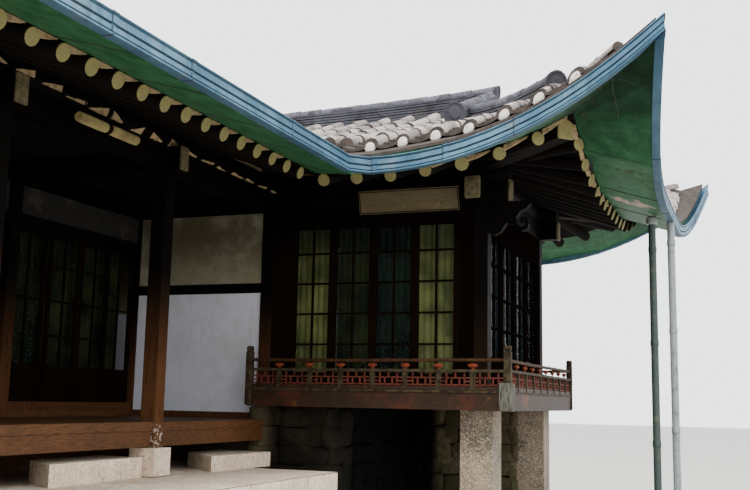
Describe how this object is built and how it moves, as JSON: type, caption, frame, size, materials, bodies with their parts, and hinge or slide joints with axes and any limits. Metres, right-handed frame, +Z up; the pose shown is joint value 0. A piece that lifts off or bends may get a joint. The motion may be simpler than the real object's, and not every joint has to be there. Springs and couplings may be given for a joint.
{
  "type": "hanok house",
  "caption": "L-shaped hanok house: long wing with a porch, raised pavilion with a railed balcony on stone pillars, tiled hip-and-gable roofs with a sheet-metal eave.",
  "frame": {"origin": "middle of the house's bounding box, on the ground", "axes": "+Z up; +X along the pavilion's front towards its free corner; +Y from the courtyard towards the rear, along the long wing"},
  "size_m": [11.3002, 15.9664, 5.8637],
  "materials": {
    "board": "bare aged board",
    "dark_wood": "oiled dark brown wood",
    "fieldstone": "mossy field stones",
    "floor_wood": "worn brown boards",
    "glass": "old flat glass",
    "gutter_metal": "faded pale blue paint",
    "pale_pipe": "pale grey paint",
    "pipe_metal": "dark green paint",
    "plaster": "matt lime plaster",
    "rafter_wood": "weathered round logs with pale painted ends",
    "rail_wood": "worn red and green paint",
    "ridge_tiles": "dark clay ridge tiles",
    "soffit_metal": "worn dark green paint with rust",
    "stone": "rough granite",
    "tiles": "weathered grey-beige clay tiles"
  },
  "bodies": {
    "house": {"roof_courtyard": "tiles", "roof_front": "tiles", "roof_side": "tiles", "roof_rear": "tiles", "roof_back": "tiles", "roof_end": "tiles", "gable_pavilion": "plaster", "gable_main": "plaster", "ridge_main": "ridge_tiles", "ridge_pavilion": "ridge_tiles", "gutter": "gutter_metal", "soffit": "soffit_metal", "rafters_courtyard": "rafter_wood", "rafters_front": "rafter_wood", "rafters_side": "rafter_wood", "rafters_rear": "rafter_wood", "rafters_back": "rafter_wood", "rafters_end": "rafter_wood", "wall_back": "plaster", "wall_end": "plaster", "wall_north": "plaster", "wall_porch_end": "plaster", "wall_over_doors": "plaster", "doors_fixed": "dark_wood", "glass_doors": "glass", "timber_frame": "dark_wood", "terrace": "stone", "plinth": "fieldstone", "floor_rooms": "floor_wood", "floor_porch": "floor_wood", "step_long": "stone", "step_short": "stone", "foundation": "fieldstone", "pillar_front": "stone", "pillar_back": "stone", "floor_pavilion": "floor_wood", "railing": "rail_wood", "screen_front": "dark_wood", "screen_side": "dark_wood", "screen_rear": "dark_wood", "glass_front": "glass", "glass_side": "glass", "glass_rear": "glass", "sign_board": "board", "pipe_dark": "pipe_metal", "pipe_pale": "pale_pipe"},
    "door_leaf_left": {"door_left": "dark_wood"},
    "door_leaf_right": {"door_right": "dark_wood"}
  },
  "joints": [
    {"name": "slide_left", "type": "slide", "parent": "house", "child": "door_leaf_left", "axis": [0, -1, 0], "range_m": [0, 0.515]},
    {"name": "slide_right", "type": "slide", "parent": "house", "child": "door_leaf_right", "axis": [0, 1, 0], "range_m": [0, 0.515]}
  ]
}
